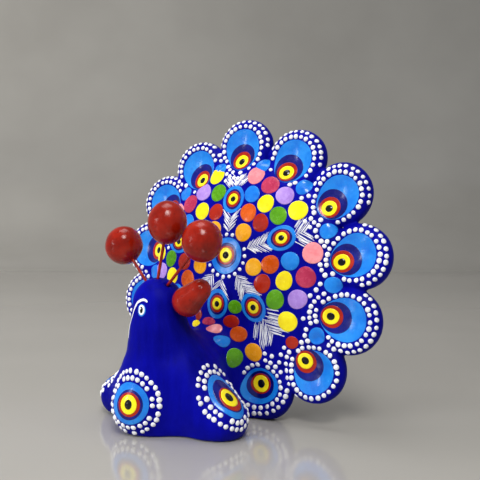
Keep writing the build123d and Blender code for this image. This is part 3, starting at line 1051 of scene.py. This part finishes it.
beak_low, beak_high = node_box("beak")
vertices, faces = surface_net(beak_distance, beak_low - 8, beak_high + 2, BEAK_STEP)
make_mesh("beak_drop", vertices, faces, RED_BEAK, "figure", ["beak"])
for number, foot, ball, direction, radius in WIRES:
    make_ball(number, ball, radius)
    reach = np.linalg.norm(ball - foot) - radius * 0.5
    make_wire("wire_", number, foot, direction, 0.05, reach, 40, "crest_" + number)
    make_wire("wire_root_", number, foot, direction, -5.2, -0.5, 10, "figure")


# ---------------------------------------------------------------- floor, light and camera
# Level directions away from the camera and to its right
VIEW_AWAY, VIEW_ACROSS = (-0.6216, 0.7831), (0.7831, 0.6216)


def sweep_backdrop():
    """A pale table that curves up behind the figure."""
    columns, column_width, bend, bend_from, bend_steps = 9, 0.75, 0.8, 1.0, 12
    profile = [(-1.6, 0.0), (-0.4, 0.0), (0.6, 0.0), (bend_from, 0.0)]
    for step in range(1, bend_steps + 1):
        angle = step * math.pi / (2 * bend_steps)
        profile.append((bend_from + bend * math.sin(angle), bend - bend * math.cos(angle)))
    profile += [(1.8, 1.6), (1.8, 3.0)]
    away, across = unit([*VIEW_AWAY, 0.0]), unit([*VIEW_ACROSS, 0.0])
    vertices, faces = [], []
    for distance, height in profile:
        for column in range(columns):
            spot = away * distance + across * (column - columns // 2) * column_width
            vertices.append((spot[0], spot[1], height))
    for row in range(len(profile) - 1):
        for column in range(columns - 1):
            a = row * columns + column
            faces.append((a, a + 1, a + columns + 1, a + columns))
    mesh = bpy.data.meshes.new("table")
    mesh.from_pydata(vertices, [], faces)
    mesh.polygons.foreach_set("use_smooth", [True] * len(mesh.polygons))
    table = bpy.data.objects.new("table", mesh)
    bpy.context.scene.collection.objects.link(table)
    material, tree, shader, at = start("pale_table")
    soft = noise(tree, at, 3.0, 3.0)
    colour = ramp(tree, soft, 0.3, 0.7, [srgb(160, 157, 151), srgb(170, 167, 161)])
    tree.links.new(colour, shader.inputs["Base Color"])
    tree.links.new(spread(tree, soft, 0.3, 0.7, 0.09, 0.13), shader.inputs["Roughness"])
    shader.inputs["Specular IOR Level"].default_value = 0.9
    mesh.materials.append(material)


def placed_axes(right, up, back, at):
    """The matrix of a lamp or camera that looks against its back direction."""
    return Matrix([(right[i], up[i], back[i], at[i]) for i in range(3)] + [(0, 0, 0, 1)])


def lamp(name, at, aim, size, power, colour=(1, 1, 1), mirrored=True):
    """A rectangular lamp. mirrored is whether glossy surfaces show it."""
    data = bpy.data.lights.new(name, "AREA")
    data.shape = "RECTANGLE"
    data.size, data.size_y = size
    data.energy = power
    data.color = colour
    made = bpy.data.objects.new(name, data)
    bpy.context.scene.collection.objects.link(made)
    made.visible_glossy = mirrored
    at, aim = np.array(at, float), np.array(aim, float)
    back = unit(at - aim)
    right = unit(np.cross([0, 0, 1], back)) if abs(back[2]) < 0.99 else np.array([1.0, 0, 0])
    up = np.cross(back, right)
    made.matrix_world = placed_axes(right, up, back, at)


sweep_backdrop()
lamp("key", (0.5, -0.5, 0.9), (0, 0, 0.07), (0.3, 0.3), 6.2, (1.0, 0.98, 0.95))
lamp("front", (-0.2, -1.0, 0.4), (0, 0, 0.05), (0.5, 0.6), 7.5, (0.96, 0.98, 1.0), False)
lamp("window", (-0.5, -1.05, 0.3), (0, 0, 0.07), (0.09, 0.3), 1.0)
lamp("top", (-0.1, 0.0, 1.2), (0, 0, 0.05), (0.6, 0.6), 4.5)
lamp("wall", (-1.7, -0.9, 1.0), (-1.5, 1.4, 0.9), (0.8, 0.8), 22.0, (1.0, 0.98, 0.95), False)
world = bpy.data.worlds.new("studio")
world.use_nodes = True
background = world.node_tree.nodes["Background"]
background.inputs["Color"].default_value = (0.86, 0.88, 0.9, 1)
background.inputs["Strength"].default_value = 0.36
bpy.context.scene.world = world
bpy.context.scene.view_settings.view_transform = "Standard"

camera_data = bpy.data.cameras.new("camera")
camera_data.lens = 46.62
camera_data.shift_y = -0.0516
camera = bpy.data.objects.new("camera", camera_data)
bpy.context.scene.collection.objects.link(camera)
forward = unit([-0.6216, 0.7831, 0.0191])
right = unit([0.7833, 0.6217, 0.0030])
up = np.cross(right, forward)
place = body_point(213.8, -259.9, 95.4) * M_PER_MM
camera.matrix_world = placed_axes(right, up, -forward, place)
bpy.context.scene.camera = camera

bpy.context.view_layer.update()
